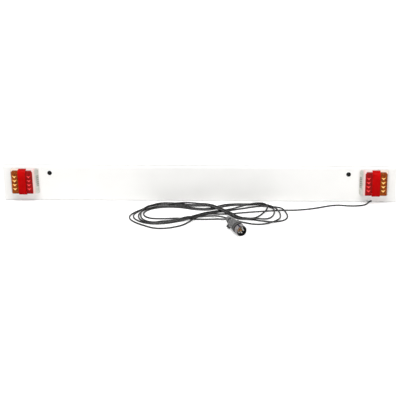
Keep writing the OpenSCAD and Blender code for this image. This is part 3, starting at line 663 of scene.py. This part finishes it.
def plugPlastic(name, finish):
    mat, tree, shader, coords = newMaterial(name)
    parts = plugCoords(tree, coords)
    patches = addNoise(tree, coords, plugSet["patches"], detail=2.0).outputs["Fac"]
    color = addRamp(tree, patches, [(0.36, finish["dark"]), (0.64, finish["light"])])
    dull = 0.0
    # painted shade in the grooves and joints, which also takes away their gloss
    for low, high, soft, tone in finish["rings"]:
        ring = between(tree, parts.outputs["Z"], low, high, soft)
        color = mixIn(tree, ring, color, tone)
        dull = addMath(tree, "MAXIMUM", ring, dull)
    tree.links.new(addRange(tree, dull, plugSet["gloss"], 0.0), shader.inputs["Specular IOR Level"])
    if finish.get("lugged"):
        lug = addMath(tree, "MULTIPLY", addRange(tree, fromAxis(tree, parts), 0.0, 1.0, *plugSet["lugFrom"]),
                      addMath(tree, "LESS_THAN", parts.outputs["Z"], plugSet["lugBehind"]))
        color = mixIn(tree, lug, color, plugSet["lugTone"])
    if finish.get("keyed"):
        angle = math.radians(plugSet["keyAngle"])
        off = alongPlug(tree, parts, -math.sin(angle), math.cos(angle))
        out = alongPlug(tree, parts, math.cos(angle), math.sin(angle))
        key = addMath(tree, "MULTIPLY", between(tree, off, -plugSet["keyHalf"], plugSet["keyHalf"],
                                                plugSet["keySoft"]),
                      addMath(tree, "GREATER_THAN", out, plugSet["keyFrom"]))
        key = addMath(tree, "MULTIPLY", key,
                      between(tree, parts.outputs["Z"], *plugSet["keyRun"], plugSet["keyRunSoft"]))
        color = mixIn(tree, key, color, plugSet["keyTone"])
        # painted shade: the front rim is black on the side away from the keyway, and the bore inside is black
        rim = addMath(tree, "MULTIPLY", addMath(tree, "GREATER_THAN", parts.outputs["Z"], plugSet["rimFrom"]),
                      addRange(tree, towardKey(tree, parts), 1.0, 0.0, *plugSet["rimFade"]))
        inside = addMath(tree, "LESS_THAN", fromAxis(tree, parts), plugSet["bore"])
        color = mixIn(tree, addMath(tree, "MAXIMUM", rim, inside), color, plugSet["paintedShadeTone"])
    tree.links.new(color, shader.inputs["Base Color"])
    tree.links.new(addRange(tree, patches, *finish["rough"]), shader.inputs["Roughness"])
    fine = addNoise(tree, coords, plugSet["grain"], detail=2.0)
    addBump(tree, fine.outputs["Fac"], shader, plugSet["grainStrength"], plugSet["grainDepth"])
    return mat


for name, finish in plugFinishes.items():
    dress(plugPlastic(name, finish), finish["node"])

# inside the nose, light painted by side: towards the keyway the insert carries a painted copper reflection and the
# pins their copper tone, on the other side the insert is black and the pins carry painted white highlights
insideSet = {
    "centre": (0.004, 0.006),     # the pin in the middle keeps the copper tone
    "fade": (0.0035, 0.0055),
    "patches": 420,
    "darker": 0.8,
    "grain": 1500,
    "grainStrength": 0.2,
    "grainDepth": 0.00003,
}
insideFinishes = {
    # the insert's copper tone is a painted reflection of the pins
    "plugInsert": {"front": (0.006, 0.006, 0.006), "back": (0.30, 0.13, 0.05), "metal": 0.0, "rough": (0.4, 0.55),
                   "node": "plug_insert"},
    # the pins' pale front tone is a painted highlight
    "pinBrass": {"front": (0.95, 0.93, 0.88), "back": (0.90, 0.48, 0.20), "metal": 0.2, "rough": (0.2, 0.34),
                 "node": "plug_pins"},
}


def plugInside(name, finish):
    mat, tree, shader, coords = newMaterial(name)
    parts = plugCoords(tree, coords)
    outer = addMath(tree, "MULTIPLY", addRange(tree, fromAxis(tree, parts), 0.0, 1.0, *insideSet["centre"]),
                    addRange(tree, towardKey(tree, parts), 1.0, 0.0, *insideSet["fade"]))
    patches = addNoise(tree, coords, insideSet["patches"], detail=2.0).outputs["Fac"]
    darkBack = tuple(insideSet["darker"] * c for c in finish["back"])
    low = addRamp(tree, patches, [(0.35, darkBack), (0.65, finish["back"])])
    tree.links.new(mixIn(tree, outer, low, finish["front"]), shader.inputs["Base Color"])
    tree.links.new(addRange(tree, patches, *finish["rough"]), shader.inputs["Roughness"])
    shader.inputs["Metallic"].default_value = finish["metal"]
    fine = addNoise(tree, coords, insideSet["grain"], detail=1.0)
    addBump(tree, fine.outputs["Fac"], shader, insideSet["grainStrength"], insideSet["grainDepth"])
    return mat


for name, finish in insideFinishes.items():
    dress(plugInside(name, finish), finish["node"])
print("plug dressed")


def seenDirectly(tree):
    # 1 for what the camera sees straight or through a clear cover, 0 for the light that reaches the board
    rays = tree.nodes.new("ShaderNodeLightPath")
    return addMath(tree, "MAXIMUM", rays.outputs["Is Camera Ray"], rays.outputs["Is Transmission Ray"])


# pale paper floor, which fades to plain white away from the board
floorSet = {
    "size": 16,
    "tones": [(0.3, (0.79, 0.79, 0.79)), (0.7, (0.81, 0.81, 0.81))],
    "patches": 5,
    "rough": 0.9,
    "specular": 0.1,
    "nearGlow": 0.45,
    "farGlow": 1.0,
    "fadeOver": (1.5, 3.2),
}
bpy.ops.mesh.primitive_plane_add(size=floorSet["size"], location=(0, 0, ground))
floor = bpy.context.object
floor.name = "floor"
floorMat, floorTree, floorShader, floorCoords = newMaterial("floorPaper")
paper = addNoise(floorTree, floorCoords, floorSet["patches"])
floorTree.links.new(addRamp(floorTree, paper.outputs["Fac"], floorSet["tones"]), floorShader.inputs["Base Color"])
floorShader.inputs["Roughness"].default_value = floorSet["rough"]
floorShader.inputs["Specular IOR Level"].default_value = floorSet["specular"]
floorShader.inputs["Emission Color"].default_value = (1, 1, 1, 1)
away = floorTree.nodes.new("ShaderNodeVectorMath")
away.operation = "LENGTH"
floorTree.links.new(floorCoords.outputs["Object"], away.inputs[0])
fade = addRange(floorTree, away.outputs["Value"], floorSet["nearGlow"], floorSet["farGlow"], *floorSet["fadeOver"])
floorTree.links.new(addMath(floorTree, "MULTIPLY", seenDirectly(floorTree), fade),
                    floorShader.inputs["Emission Strength"])
floor.data.materials.append(floorMat)
print("floor laid")

lightSet = {
    "world": 0.38,
    "worldSeen": 1.0,
    "keyPlace": (-0.1, -2.2, 4.4),
    "keyPower": 185,
    "keySize": (4.4, 1.0),
    "fillPlace": (0.5, -5.2, 1.2),
    "fillPower": 66,
    "fillSize": (4.2, 1.4),
}
world = bpy.data.worlds.new("studio")
world.use_nodes = True
scene.world = world
sky = world.node_tree.nodes["Background"]
sky.inputs["Color"].default_value = (1, 1, 1, 1)
world.node_tree.links.new(addRange(world.node_tree, seenDirectly(world.node_tree), lightSet["world"],
                                   lightSet["worldSeen"], 0.0, 1.0), sky.inputs["Strength"])


def softLight(name, place, power, size):
    bpy.ops.object.light_add(type="AREA", location=place)
    lamp = bpy.context.object
    lamp.name = name
    lamp.data.energy = power
    lamp.data.shape = "RECTANGLE"
    lamp.data.size = size[0]
    lamp.data.size_y = size[1]
    lamp.rotation_euler = (-Vector(place)).to_track_quat("-Z", "Y").to_euler()    # towards the board


softLight("keyLight", lightSet["keyPlace"], lightSet["keyPower"], lightSet["keySize"])
softLight("fillLight", lightSet["fillPlace"], lightSet["fillPower"], lightSet["fillSize"])
print("lights set")

bpy.context.view_layer.update()
